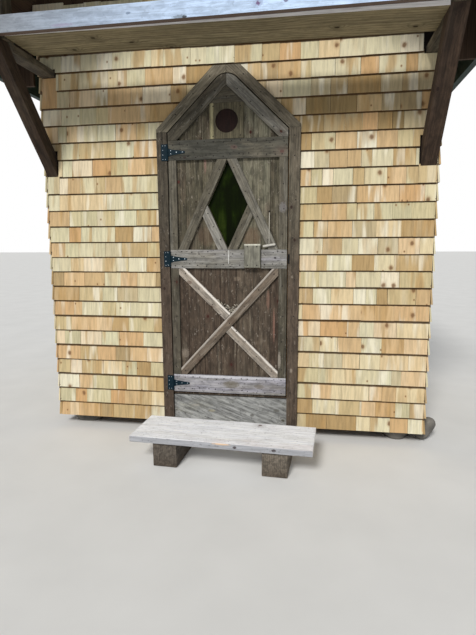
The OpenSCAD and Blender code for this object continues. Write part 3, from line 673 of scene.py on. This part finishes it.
def dress(name, cad, mat, seed, bevel, along=None, cuts=None, wear=0.0, tones=None,
          body=WALL):
    """A copy of CAD nodes with worn edges, boards cut apart, and a grain for each board.

    along is the grain's direction, or else each board's longest edge. cuts is (axis, positions,
    gap). wear moves points inwards by up to that much. The tone attribute holds a tone, a
    random number, and 0 at the board's low edge to 1 at its high one.
    """
    rng = random.Random(seed)
    cads = [cad] if isinstance(cad, str) else cad
    whole = bmesh.new()
    for node in cads:
        part = nodes[node].data.copy()
        part.transform(nodes[node].matrix_world)
        whole.from_mesh(part)
    bmesh.ops.remove_doubles(whole, verts=whole.verts, dist=1e-5)
    bmesh.ops.dissolve_limit(whole, angle_limit=math.radians(0.4), verts=whole.verts,
                             edges=whole.edges)
    if cuts:
        whole = cut_apart(whole, *cuts)
    bmesh.ops.recalc_face_normals(whole, faces=whole.faces)
    frames = [(middle(g), grain_frame(g, along)) for g in islands(whole)]
    if wear:
        wear_down(whole, frames, wear, seed)
    sharp = [e for e in whole.edges if len(e.link_faces) == 2
             and e.calc_face_angle(0) > math.radians(30)]
    bmesh.ops.bevel(whole, geom=sharp, offset=bevel / 1000, segments=2, profile=0.6,
                    affect="EDGES", clamp_overlap=True)
    grain, tone = {}, {}
    order = sorted(islands(whole), key=lambda g: tuple(round(c, 2) for c in middle(g)))
    for i, group in enumerate(order):
        a, b, c = nearest(frames, group)
        off = random_vector(rng, 0, 40)
        own = random_vector(rng)
        if tones:
            own.x = tones[i % len(tones)]
        across = b if b.z > 0 else -b
        lo, hi = span(group, across)
        for v in group:
            grain[v] = Vector((v.co.dot(a), v.co.dot(b), v.co.dot(c))) + off
            tone[v] = (own.x, own.y, (v.co.dot(across) - lo) / (hi - lo))
    grain, tone = ([values[v] for v in whole.verts] for values in (grain, tone))
    mesh = settle(name, whole)
    put_vectors(mesh, "grain", grain)
    put_vectors(mesh, "tone", tone)
    o = new_object(name, mesh, mat, body)
    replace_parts(o, *cads)


# Latch string and toggle

STRING_X, STRING_Z = DOOR_X + 260, 1442         # the hole in the door
STRING_ROUTE = [(-17, 0), (-22, -1), (-25, -6), (-27, -14), (-29, -23), (-30.5, -32),
                (-32, -41), (-33.5, -50), (-35, -59), (-36.5, -68), (-38, -77), (-39.5, -86),
                (-41, -95), (-41.5, -105), (-42, -115), (-42.5, -125), (-43, -135),
                (-43.5, -145), (-44, -155), (-44.5, -165), (-45.5, -175), (-46.5, -184),
                (-46.5, -190)]                  # (y, z from the hole)
TOGGLE_TILT = -9
TOGGLE_DROP = 0.0084                            # of its middle below the string's end, in metres
TOGGLE_RINGS = [(-39, 4.6), (-37, 6.6), (-30, 7.7), (-18, 7.5), (-8, 7.8), (-4, 6.9),
                (-1.5, 6.2), (1.5, 6.2), (4, 7.0), (8, 7.9), (19, 7.4), (31, 7.6), (37, 6.4),
                (39, 4.2)]                      # (x, radius)


def make_string():
    pts = [at(STRING_X, y, STRING_Z + z) for y, z in STRING_ROUTE]
    data = bpy.data.curves.new("door_pull_string", "CURVE")
    data.dimensions = "3D"
    data.bevel_depth = 0.00175
    data.bevel_resolution = 3
    data.use_fill_caps = True
    sp = data.splines.new("POLY")
    sp.points.add(len(pts) - 1)
    for q, p in zip(sp.points, pts):
        q.co = (*p, 1)
    o = new_object("door_pull_string", data, STRING, DOOR)
    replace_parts(o, "latch_string")
    return o, pts


def make_toggle(end):
    """A whittled stick: facets along it, bevelled ends, and a waist where the string is tied."""
    c = end - Vector((0, 0, TOGGLE_DROP))
    tilt = Matrix.Rotation(math.radians(TOGGLE_TILT), 3, "Y")
    verts, faces, grain = [], [], []
    sides = 10
    for x, r in TOGGLE_RINGS:
        for k in range(sides):
            q = 2 * math.pi * k / sides + 0.2
            rr = r * (1 - 0.07 * (noise.noise(Vector((x * 0.05, k * 1.7, 0.3))) + 0.5))
            p = Vector((x, rr * math.cos(q), rr * math.sin(q))) / 1000
            verts.append(c + tilt @ p)
            grain.append(p + Vector((3, 5, 7)))
    last = len(verts) - sides
    for i in range(0, last, sides):
        for k in range(sides):
            k2 = (k + 1) % sides
            faces.append((i + k, i + sides + k, i + sides + k2, i + k2))
    faces += [tuple(range(sides)), tuple(reversed(range(last, last + sides)))]
    o = build("door_pull_toggle", verts, faces, grain, [(0.6, 0.5, 0.5)] * len(verts),
              TOGGLE_WOOD, DOOR)
    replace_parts(o, "latch_toggle")
    return o


string, string_pts = make_string()
toggle = make_toggle(string_pts[-1])
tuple(string_pts[0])
sum((b - a).length for a, b in zip(string_pts, string_pts[1:]))


# Shingles

COURSE = 101.5          # height of a shingle course
FIRST = 74              # lowest butt line
BUTT = 22               # thickness at the butt, with what lies under it
FALL = 11 / COURSE      # how fast a shingle's face falls back with height
LAP = 14                # how far a shingle runs under the next course
NARROWEST = 55
WIDTHS = (62, 80, 96, 108, 116, 124, 138, 156, 174)
GAPS = (0.5, 0.8, 1.2, 2.6)
STARTER, EVERY = -1, 99         # the course under the first, and a number over the last


def sides(poly):
    return zip(poly, poly[1:] + poly[:1])


def area(poly):
    return abs(sum(a[0] * b[1] - b[0] * a[1] for a, b in sides(poly))) / 2


def clip(poly, p, n):
    """The part of a convex polygon on the side that n points to from p."""
    out = []
    for a, b in sides(poly):
        da, db = ((q[0] - p[0]) * n[0] + (q[1] - p[1]) * n[1] for q in (a, b))
        if da >= 0:
            out.append(a)
        if da * db < 0:
            t = da / (da - db)
            out.append((a[0] + (b[0] - a[0]) * t, a[1] + (b[1] - a[1]) * t))
    return out


def minus(poly, hole):
    """A convex polygon less a convex anticlockwise hole, as convex polygons."""
    left, rest = [], poly
    for a, b in sides(hole):
        n = (b[1] - a[1], a[0] - b[0])
        out = clip(rest, a, n)
        if len(out) > 2 and area(out) > 1:
            left.append(out)
        rest = clip(rest, a, (-n[0], -n[1]))
        if len(rest) < 3 or area(rest) < 1:
            return left
    return left


def rect(x0, x1, z0, z1):
    return [(x0, z0), (x1, z0), (x1, z1), (x0, z1)]


def doorway(reach, shoulder, half_tip, tip):
    """The outline of the pointed casing."""
    c = DOOR_X
    return [(c - reach, 0), (c + reach, 0), (c + reach, shoulder), (c + half_tip, tip),
            (c - half_tip, tip), (c - reach, shoulder)]


def no_sag(u, z):
    return 0


def front_sag(u, z):
    """How far a butt line of the front wall lies off its even course, by place."""
    left = -21 * math.exp(-((z - 1380) / 380) ** 2) + max(0, z - 1920) * 0.035
    return left * min(1, max(0, (450 - u) / 900))


def any_tone(rng, u, course):
    return rng.uniform(0.06, 1)


def front_tone(rng, u, course):
    """Browner courses by the right brace, partly painted shade, pale ones at the top as painted
    light, and warmer ones low down.
    """
    if u > 440 and course in (18, 19, 20):
        return rng.choice((0.0, 0.02, 0.8, 0.82, 0.45)) + rng.uniform(0, 0.05)
    if course >= 22 and (u < 0 or rng.random() < 0.6):
        return rng.choice((0.27, 0.36, 0.63, 0.64, 0.9, 0.91)) + rng.uniform(0, 0.03)
    if rng.random() < 0.55 - 0.04 * course:
        return rng.choice((0.09, 0.36, 0.45, 0.72, 0.73)) + rng.uniform(-0.03, 0.03)
    return any_tone(rng, u, course)


def shingle_wall(name, u0, u1, top, place, holes=(), seed=1, ragged=0, sag=no_sag, tall=(),
                 pick=any_tone):
    """Courses of tapered shingles over one wall. place(u, out, z) gives a point.

    A hole is (outline, first course, last course). A tall shingle is (u0, u1, course, top).
    """
    rng = random.Random(seed)
    verts, faces, grain, tone = [], [], [], []

    def depths(up, butt, starter):
        """Distances of a shingle's face and back from the wall boards at a height over its butt."""
        if starter:
            return 10.6 - FALL * up * 0.8, 0.0
        return max(1.5, butt - FALL * up), max(0.2, 11.2 - 0.085 * up)

    def shingle(a, b, course, low, z1, step, holes):
        gap = rng.choice(GAPS)
        left = a + (0 if a == u0 else gap / 2)
        right = b - (0 if b == u1 else gap / 2)
        z0 = low + rng.uniform(-1, 1)
        tilt = rng.uniform(-0.5, 0.5)
        butt = BUTT + rng.uniform(-1.2, 0)
        polys = [[(left, z0), (right, z0 + tilt), (right, z1), (left, z1)]]
        for hole, first, last in holes:
            if first <= course <= last:
                polys = [q for p in polys for q in minus(p, hole)]
        off = random_vector(rng, 0, 60)
        own = (pick(rng, (a + b) / 2, course), rng.random())
        for poly in polys:
            if area(poly) <= 60:
                continue
            faces.extend(prism(len(verts), len(poly)))
            for side in (0, 1):
                for u, z in poly:
                    out = depths(z - low, butt, course == STARTER)[side]
                    verts.append(place(u, out, z))
                    grain.append(Vector((z, u, out)) / 1000 + off)
                    tone.append((*own, (z - low) / step))

    course = STARTER
    while True:
        even_low = FIRST + (2 if course == STARTER else COURSE * course)
        if even_low > top - 12:
            break
        drift = rng.uniform(-2, 2)
        u = u0
        while u < u1:
            end = u + rng.choice(WIDTHS) * rng.uniform(0.92, 1.08)
            if u1 - end < NARROWEST:
                end = u1
            mid = (u + end) / 2
            low = even_low + sag(mid, even_low) + (drift if course > 0 else 0)
            step = COURSE + sag(mid, even_low + COURSE) - sag(mid, even_low)
            z1 = low + step + LAP
            if z1 > top:
                z1 = top + (1 if u == u0 else rng.choice((0, 0, 0.1, 0.3, 0.5))) * ragged
            shingle(u, end, course, low, z1, step, holes)
            u = end
        course += 1
    for a, b, course, z1 in tall:
        low = FIRST + COURSE * course
        low += sag((a + b) / 2, low)
        shingle(a, b, course, low, z1, z1 + 60 - low, ())
    mesh = build(name, verts, faces, grain, tone, SHINGLE, WALL).data
    bm = loose(mesh)
    bmesh.ops.recalc_face_normals(bm, faces=bm.faces)
    bm.to_mesh(mesh)
    bm.free()


def make_shingles():
    # round the casing, then round each knee brace and arm with a slot beside its inner face
    holes = [(doorway(444, 1952, 84, 2300), STARTER, EVERY)]
    tall = []
    bracket, slot, clear = 1207, 10, 2
    arm_in, foot = 1118, 1704
    for side, brace_w, brace_top in ((-1, 72, 1850), (1, 89, 1862)):
        x0, x1 = sorted((side * (bracket - brace_w - slot), side * (bracket + clear)))
        holes += [(rect(x0, x1, foot, brace_top), STARTER, EVERY),
                  (rect(x0, x1, 1500, foot), 15, 16)]
        tall.append((x0, x1, 15, foot))
        x0, x1 = sorted((side * (arm_in - slot), side * (bracket + clear)))
        holes.append((rect(x0, x1, 2296, 2342), STARTER, EVERY))
    # the bare corner over the right arm, and long shingles by the left one
    holes += [(rect(1101, 1230, 2290, 2800), 22, EVERY), (rect(-1214, -1108, 2050, 2296), 20, 21)]
    tall += [(-1214, -1108, 20, 2296), (-1236, -1214, 25, 2724)]
    shingle_wall("front_shingles", -HALF_W - 14, HALF_W + 14, WALL_TOP,
                 lambda u, out, z: at(u, -out, z), holes, 11, 24, front_sag, tall, front_tone)
    shingle_wall("back_shingles", -HALF_W - 22, HALF_W + 26, WALL_TOP - 6,
                 lambda u, out, z: at(u, BODY_D + out, z), (), 12, ragged=20)
    for name, side, seed in (("left_shingles", -1, 13), ("right_shingles", 1, 14)):
        shingle_wall(name, -20, BODY_D + 2, 2612,
                     lambda u, out, z: at(side * (HALF_W + out + 9), u, z), (), seed)


def make_felt_and_shade():
    """Dark felt, partly painted shade, between the front boards and the shingles, open where the
    casing is.
    """
    verts, faces = [], []
    for poly in minus(rect(-HALF_W, HALF_W, 86, WALL_TOP), doorway(400, 1936, 70, 2250)):
        faces += prism(len(verts), len(poly))
        verts += [at(u, -out, z) for out in (0.7, 0.1) for u, z in poly]
    build("felt", verts, faces, verts, verts, FELT_AND_SHADE, WALL)


make_shingles()
make_felt_and_shade()


# Boards and timbers

def even(a, b, n, more=0):
    """n + 1 even lines from a to b, the outer two moved outwards by more."""
    return [a - more] + [a + (b - a) * i / n for i in range(1, n)] + [b + more]


# door leaf
leaf_lines = even(DOOR_X - 370, DOOR_X + 370, 7, 5)
dress("leaf_boards", "door_boards", DOOR_BOARD, 21, 1.4, Z, (X, leaf_lines, 2.0),
      tones=[0.18, 0.3, 0.4, 0.4, 0.76, 0.92, 0.82], body=DOOR)
dress("leaf_rails", "door_rails", RAIL_WOOD, 22, 1.8, X, wear=1.2,
      tones=[0.65, 0.98, 0.0, 0.66], body=DOOR)
dress("leaf_stiles", "door_stiles", FRAME_WOOD, 23, 1.6, Z, wear=1.0,
      tones=[0.1, 0.45, 0.1, 0.5], body=DOOR)
dress("leaf_peak_battens", "peak_battens", FRAME_WOOD, 24, 1.6,
      tones=[0.12, 0.2, 0.72], body=DOOR)
dress("vent_surround", "vent_block", BLOCK_WOOD, 25, 1.2, Z,
      (X, [DOOR_X - 120, DOOR_X - 79, DOOR_X + 79, DOOR_X + 120], 1.2), tones=[1.0, 0.25, 0.4],
      body=DOOR)
dress("round_vent", "vent_disc", DISC_WOOD, 26, 1.5, Z, body=DOOR)
dress("window_battens", "diamond_battens", FRAME_WOOD, 27, 1.6, wear=1.0,
      tones=[0.4, 0.95, 0.5, 0.7], body=DOOR)
dress("crossed_battens", "cross_battens", CROSS_WOOD, 28, 4.0, wear=1.2,
      tones=[0.85, 0.15, 0.75], body=DOOR)
dress("latch_wood", "latch_block", LATCH_WOOD, 29, 1.8, Z, wear=0.8, body=DOOR)

# doorway
dress("casing_uprights", "door_casing", CASING_WOOD, 31, 1.8, Z, wear=1.0,
      tones=[0.02, 0.72])
# the lightest tones, as painted light on peak boards that lie in shade under the roof
dress("casing_peak_boards", "door_casing_peak", CASING_WOOD, 32, 1.8, wear=0.8,
      tones=[1.0, 0.95])
dress("kick_plank", "kick_board", KICK_WOOD, 33, 1.4, (0.94, 0, -0.34))
dress("stop_strips", "door_stops", FRAMING, 34, 1.0, Z)

# brackets and shelf
dress("arms", "bracket_arms", ARM_WOOD, 41, 2.5, Y, wear=1.5)
dress("braces", "knee_braces", DARK_WOOD, 42, 3, wear=2, tones=[0.0, 0.5])
dress("shelf_posts", "overhang_posts", ARM_WOOD, 43, 3, Z, wear=2)
dress("shelf_planks", "overhead_planks", OLIVE_WOOD, 44, 1, X, wear=1.2)
dress("shelf_front", "overhead_board", BLUE_WOOD, 45, 2, X, wear=1.2)

# step
dress("step_board", "step_plank", STEP_WOOD, 51, 5, wear=3)
dress("step_blocks", "step_timbers", TIMBER_WOOD, 52, 4, Y, wear=3, tones=[0.0, 0.7])

# walls, floor and framing
up_lines = [40] + even(230, 2610, 17) + [2760]
dress("wall_boards_front", ["front_walls", "front_wall_over_door"], FRAMING, 61, 0.8,
      X, (Z, up_lines, 1))
dress("wall_boards_side", "side_walls", FRAMING, 62, 0.8, Y, (Z, up_lines, 1))
dress("wall_boards_back", "back_wall", FRAMING, 63, 0.8, X, (Z, up_lines, 1))
gable_lines = [-1390, -1330] + even(-1260, 1260, 18) + [1330, 1390]
dress("gable_planks", "gable_boards", ROOF_WOOD, 64, 1.2, Z, (X, gable_lines, 1.5))
dress("floor_planks", "floor_boards", FLOOR_WOOD, 65, 1.2, X,
      (Y, even(-586, 1156, 12, 30), 2))
dress("sills", ["sill_beams", "rim_boards"], TIMBER_WOOD, 66, 2)
dress("posts_and_studs", ["corner_posts", "wall_studs"], FRAMING, 67, 1.5, Z)
dress("plates", "top_plates", FRAMING, 68, 1.5)

# roof
dress("rafter_pairs", "rafters", ROOF_WOOD, 71, 1.5)
dress("ridge_plank", "ridge_board", ROOF_WOOD, 72, 1.5, Y)
dress("eave_boards", "fascia_boards", GREEN_WOOD, 73, 1.5, Y)
dress("roof_planks", "roof_decks", ROOF_WOOD, 74, 1.2, Y,
      (X, even(-1440, 1440, 30), 1))
dress("barge_planks", "barge_boards", GREEN_WOOD, 75, 1.5)


# Nodes that keep their shape

for node, mat in (("metal_roofing", ROOFING), ("ridge_cap", ROOFING), ("hinge_leaves", HINGE),
                  ("hinge_straps", HINGE), ("latch_strike", STRIKE), ("diamond_glass", GLASS)):
    o = nodes[node]
    if not o.data.materials:
        o.data.materials.append(mat)
    for s in o.material_slots:
        s.link = "OBJECT"
        s.material = mat


def rough_stones():
    bm = loose(nodes["footing_stones"].data)
    bmesh.ops.remove_doubles(bm, verts=bm.verts, dist=1e-4)
    bmesh.ops.triangulate(bm, faces=bm.faces)
    for _ in range(2):
        long = [e for e in bm.edges if e.calc_length() > 0.018]
        bmesh.ops.subdivide_edges(bm, edges=long, cuts=1)
        bmesh.ops.triangulate(bm, faces=bm.faces)
    bm.normal_update()
    for v in bm.verts:
        k = noise.fractal(v.co * 14, 0.8, 2.1, 4) * 0.5 + 0.5
        flat = v.co.z < 0.002 or v.co.z > 0.079 and abs(v.co.x) < 1.2
        if not flat:
            v.co -= v.normal * (0.007 * max(0.0, min(1.0, k)))
    mesh = settle("stones", bm)
    mesh.shade_smooth()
    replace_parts(new_object("stones", mesh, STONE, WALL), "footing_stones")


rough_stones()


# Nails and screws

RAIL_Z = (286, 1101, 1764)              # lower edges of the door's rails
HINGE_Z = (344.5, 1159.5, 1811.5)       # middles of the hinges
HINGE_X = DOOR_X - 372.5                # the hinge pins
CROSS_Z = 752                           # middle of the crossed battens
CROSS_W, CROSS_H = 318, 349             # half their width and height


def domes(name, spots, mat, body, radius, height=1.0, sides=8, slotted=False):
    """Nail or screw heads: low domes at points (x, y, z), facing forwards."""
    rng = random.Random(3)
    n = Vector((0, -1, 0))
    a = n.orthogonal().normalized()
    b = n.cross(a)
    h = height / 1000
    verts, faces, grain, tone = [], [], [], []
    for spot in spots:
        c = at(*spot)
        turn = rng.uniform(0, math.pi)
        first = len(verts)
        r0 = radius * rng.uniform(0.9, 1.12) / 1000
        for r, d in ((r0, -0.0004), (r0 * 0.96, h * 0.45), (r0 * 0.55, h * 0.9)):
            for k in range(sides):
                q = turn + 2 * math.pi * k / sides
                dip = 0.35 * h if slotted and r < r0 * 0.6 and k % (sides // 2) == 0 else 0
                verts.append(c + a * (r * math.cos(q)) + b * (r * math.sin(q)) + n * (d - dip))
        verts.append(c + n * (h * (0.6 if slotted else 1)))
        top = first + 3 * sides
        for k in range(sides):
            k2 = (k + 1) % sides
            for i in (first, first + sides):
                faces.append((i + k, i + k2, i + sides + k2, i + sides + k))
            faces.append((top - sides + k, top - sides + k2, top))
        t = random_vector(rng)
        grain += [v - c + t * 9 for v in verts[first:]]
        tone += [t] * (len(verts) - first)
    build(name, verts, faces, grain, tone, mat, body)


def nail_points():
    """Nail heads on the door (riding it) and on the casing."""
    rng = random.Random(77)
    door, wall = [], []

    def j(reach):
        return rng.uniform(-reach, reach)

    def nail(heads, x, z, y=BATTEN_FACE):
        heads.append((DOOR_X + x, y, z))

    for z0 in RAIL_Z:
        for i in range(7):
            for dx in (-27, 24):
                x = -317 + 105.6 * i + dx
                for dz in (20, 97):
                    if z0 != RAIL_Z[1] or not 100 < x < 214:
                        nail(door, x + j(9), z0 + dz + j(9))
    for s in (-1, 1):
        # stiles, battens under the point, and round the diamond above and below
        for z in (450, 640, 820, 1010, 1300, 1460, 1620):
            nail(door, s * (344 + j(6)), z + j(30))
        for t in (0.1, 0.36, 0.62, 0.86):
            nail(door, s * (40 + t * 290 + j(6)), 2182 - t * 290 * PEAK_SLOPE + j(8))
        for t in (0.07, 0.35, 0.65, 0.92):
            nail(door, s * (26 + t * 245 + j(3)), 1746 - t * 514 + j(8))
        for t in (0.12, 0.5, 0.85):
            nail(door, s * (36 + t * 100 + j(3)), 1262 + t * 205 + j(6))
        # the cut crossed batten, then the casing
        for t in (0.06, 0.2, 0.34, 0.43):
            k = s * (1 - 2 * t)
            nail(door, CROSS_W * k + j(9), CROSS_Z - CROSS_H * k * 0.985 - s * 6 + j(8))
        for z in (330, 560, 800, 1040, 1290, 1530, 1780, 1905):
            nail(wall, s * (409 + j(12)), z + j(25))
        for t in (0.08, 0.4, 0.75):
            nail(wall, s * (70 + t * 330 + j(8)), 2268 - t * 330 * PEAK_SLOPE + j(6))
    for t in (0.04, 0.2, 0.36, 0.5, 0.66, 0.82, 0.95):
        nail(door, CROSS_W * (2 * t - 1) + j(9), CROSS_Z + CROSS_H * (2 * t - 1) + j(8))
    # vent block and the board over it, then the latch block
    for x, z in ((-84, 1896), (84, 1898), (-82, 2068), (84, 2066), (0, 2118)):
        nail(door, x, z)
    for x in (128, 186):
        for z in (1122, 1236):
            nail(door, x, z, LATCH_FACE)
    return door, wall


door_nails, wall_nails = nail_points()
domes("leaf_nails", door_nails, NAIL, DOOR, 3.6)
domes("casing_nails", wall_nails, NAIL, WALL, 3.6)
door_screws, wall_screws = [], []
for hz in HINGE_Z:
    wall_screws += [(HINGE_X + x, HINGE_FACE, hz + z) for x in (-13, -29) for z in (-40, 40)]
    wall_screws += [(HINGE_X - 29, HINGE_FACE, hz + z) for z in (-14, 14)]
    door_screws += [(HINGE_X + x, HINGE_FACE, hz + z)
                    for x, z in ((22, -9), (22, 10), (58, 0), (96, 0))]
domes("hinge_screws_wall", wall_screws, SCREW, WALL, 2.6, 1.0, 10, slotted=True)
domes("hinge_screws_leaf", door_screws, SCREW, DOOR, 3.4, 1.3, 10, slotted=True)


# Crumbs of wood and a pale drip

def make_crumbs():
    """Crumbs that lie over the crossed battens."""
    rng = random.Random(91)
    sides = 6
    verts, faces, grain, tone = [], [], [], []
    for _ in range(150):
        along = rng.triangular(-100, 62, -8)
        heap = 34 * (1 - abs(along) / 125)
        z = 813 + abs(along) * (0.98 if along < 0 else 1.1) + rng.random() ** 1.3 * heap
        c = at(DOOR_X + 16 + along, -rng.uniform(21, 35), z)
        size = rng.uniform(5, 12) / 1000
        a, b, n = (random_vector(rng, -1, 1).normalized() for _ in range(3))
        off = random_vector(rng, 0, 9)
        ring = []
        for k in range(sides):
            q = 2 * math.pi * k / sides
            r = size * rng.uniform(0.6, 1.2)
            ring.append(a * (r * math.cos(q)) + b * (r * 0.45 * math.sin(q)))
        faces += prism(len(verts), sides)
        verts += [c + p + n * t for t in (0.0006, -0.0006) for p in ring]
        grain += [p + off for p in ring] * 2
        tone += [random_vector(rng)] * (2 * sides)
    build("batten_crumbs", verts, faces, grain, tone, CRUMB, DOOR)


def make_drip():
    """A drip that ran down the middle rail."""
    x0, z0, z1 = DOOR_X + 6, 1128, 1216
    n = 24
    verts, faces = [], []
    for i in range(n + 1):
        z = z0 + (z1 - z0) * i / n
        w = 2.6 + 1.4 * noise.noise(Vector((0.3, 0.1, i * 0.35)))
        w *= min(1, (i + 0.4) / 2, (n - i + 0.4) / 2)
        mid = x0 + 1.8 * noise.noise(Vector((0.7, 4.0, i * 0.12)))
        for dx, proud in ((-w, -0.1), (-w * 0.6, 0.7), (w * 0.6, 0.7), (w, -0.1)):
            verts.append(at(mid + dx, BATTEN_FACE - proud, z))
    for i in range(0, 4 * n, 4):
        faces += [(a, a + 1, a + 5, a + 4) for a in range(i, i + 3)]
    faces += [(3, 2, 1, 0), tuple(range(4 * n, 4 * n + 4))]
    build("rail_drip", verts, faces, verts, [(0.5, 0.5, 0.5)] * len(verts), DRIP, DOOR)


make_crumbs()
make_drip()


# Floor, world, light

def make_floor():
    mesh = bpy.data.meshes.new("floor")
    s = 60
    mesh.from_pydata([(-s, -s, 0), (s, -s, 0), (s, s, 0), (-s, s, 0)], [], [(0, 1, 2, 3)])
    m = material("pale_floor")
    greys = [(0.3, (0.74, 0.74, 0.73, 1)), (0.7, (0.78, 0.78, 0.77, 1))]
    mesh.materials.append(m.finish(m.ramp(m.noise(m.coords(), 3), greys), 0.9))
    floor = link("floor", mesh)
    floor.location.z = -0.0005


def make_world():
    """Soft light from all sides, and plain white where the sky is seen."""
    world = bpy.data.worlds.new("world")
    bpy.context.scene.world = world
    m = Nodes(world, "OutputWorld")
    ray = m.add("LightPath").outputs
    seen = m.math("MAXIMUM", ray["Is Camera Ray"], ray["Is Glossy Ray"])
    seen = m.math("MAXIMUM", seen, ray["Is Transmission Ray"])
    dim = m.add("Background", {0: (0.93, 0.96, 1.0, 1), 1: 0.36})
    white = m.add("Background", {0: (1, 1, 1, 1), 1: 1.0})
    both = m.add("MixShader", {0: seen, 1: dim.outputs[0], 2: white.outputs[0]})
    m.put(m.out.inputs[0], both.outputs[0])


def make_light():
    key = bpy.data.lights.new("key", "SUN")
    key.angle = math.radians(15)
    key.energy = 2.5
    key.color = (1.0, 0.98, 0.94)
    o = link("key", key)
    o.location = (-1.2, -6.6, 6.3)
    o.rotation_euler = Vector((0.15, 0.76, -0.62)).to_track_quat("-Z", "Y").to_euler()


make_floor()
make_world()
make_light()
bpy.context.scene.view_settings.view_transform = "Standard"
